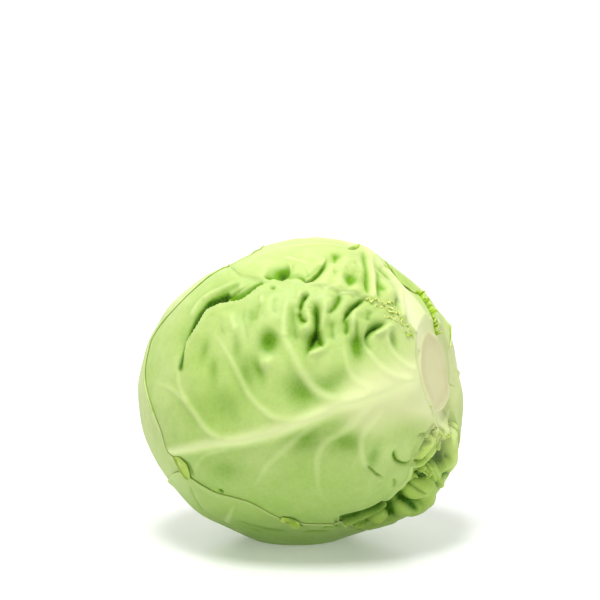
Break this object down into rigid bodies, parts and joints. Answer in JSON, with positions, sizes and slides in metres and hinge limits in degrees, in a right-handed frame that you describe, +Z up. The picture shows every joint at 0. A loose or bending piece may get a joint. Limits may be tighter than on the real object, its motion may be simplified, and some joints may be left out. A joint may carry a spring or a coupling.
{
  "type": "cabbage head",
  "caption": "Whole pale green cabbage head with overlapping veined leaves, frilled margins and a cut stem, lying on its side.",
  "frame": {"origin": "centre of the small flat spot on the underside that the head rests on", "axes": "+Z up from the resting spot, +X along the ground the way the cut stem points; the stem is tilted 10 degrees up"},
  "size_m": [0.174, 0.1709, 0.1623],
  "materials": {
    "heart": "matt cut stem and pale inner leaf",
    "leaf_front": "satin leaf",
    "leaf_top": "satin leaf",
    "leaf_back": "satin leaf",
    "leaf_under": "satin leaf",
    "leaf_left": "satin leaf",
    "leaf_lower": "satin leaf"
  },
  "bodies": {
    "root": {"heart": "heart", "leaf_front": "leaf_front", "leaf_top": "leaf_top", "leaf_back": "leaf_back", "leaf_under": "leaf_under", "leaf_left": "leaf_left", "leaf_lower": "leaf_lower"}
  },
  "joints": []
}
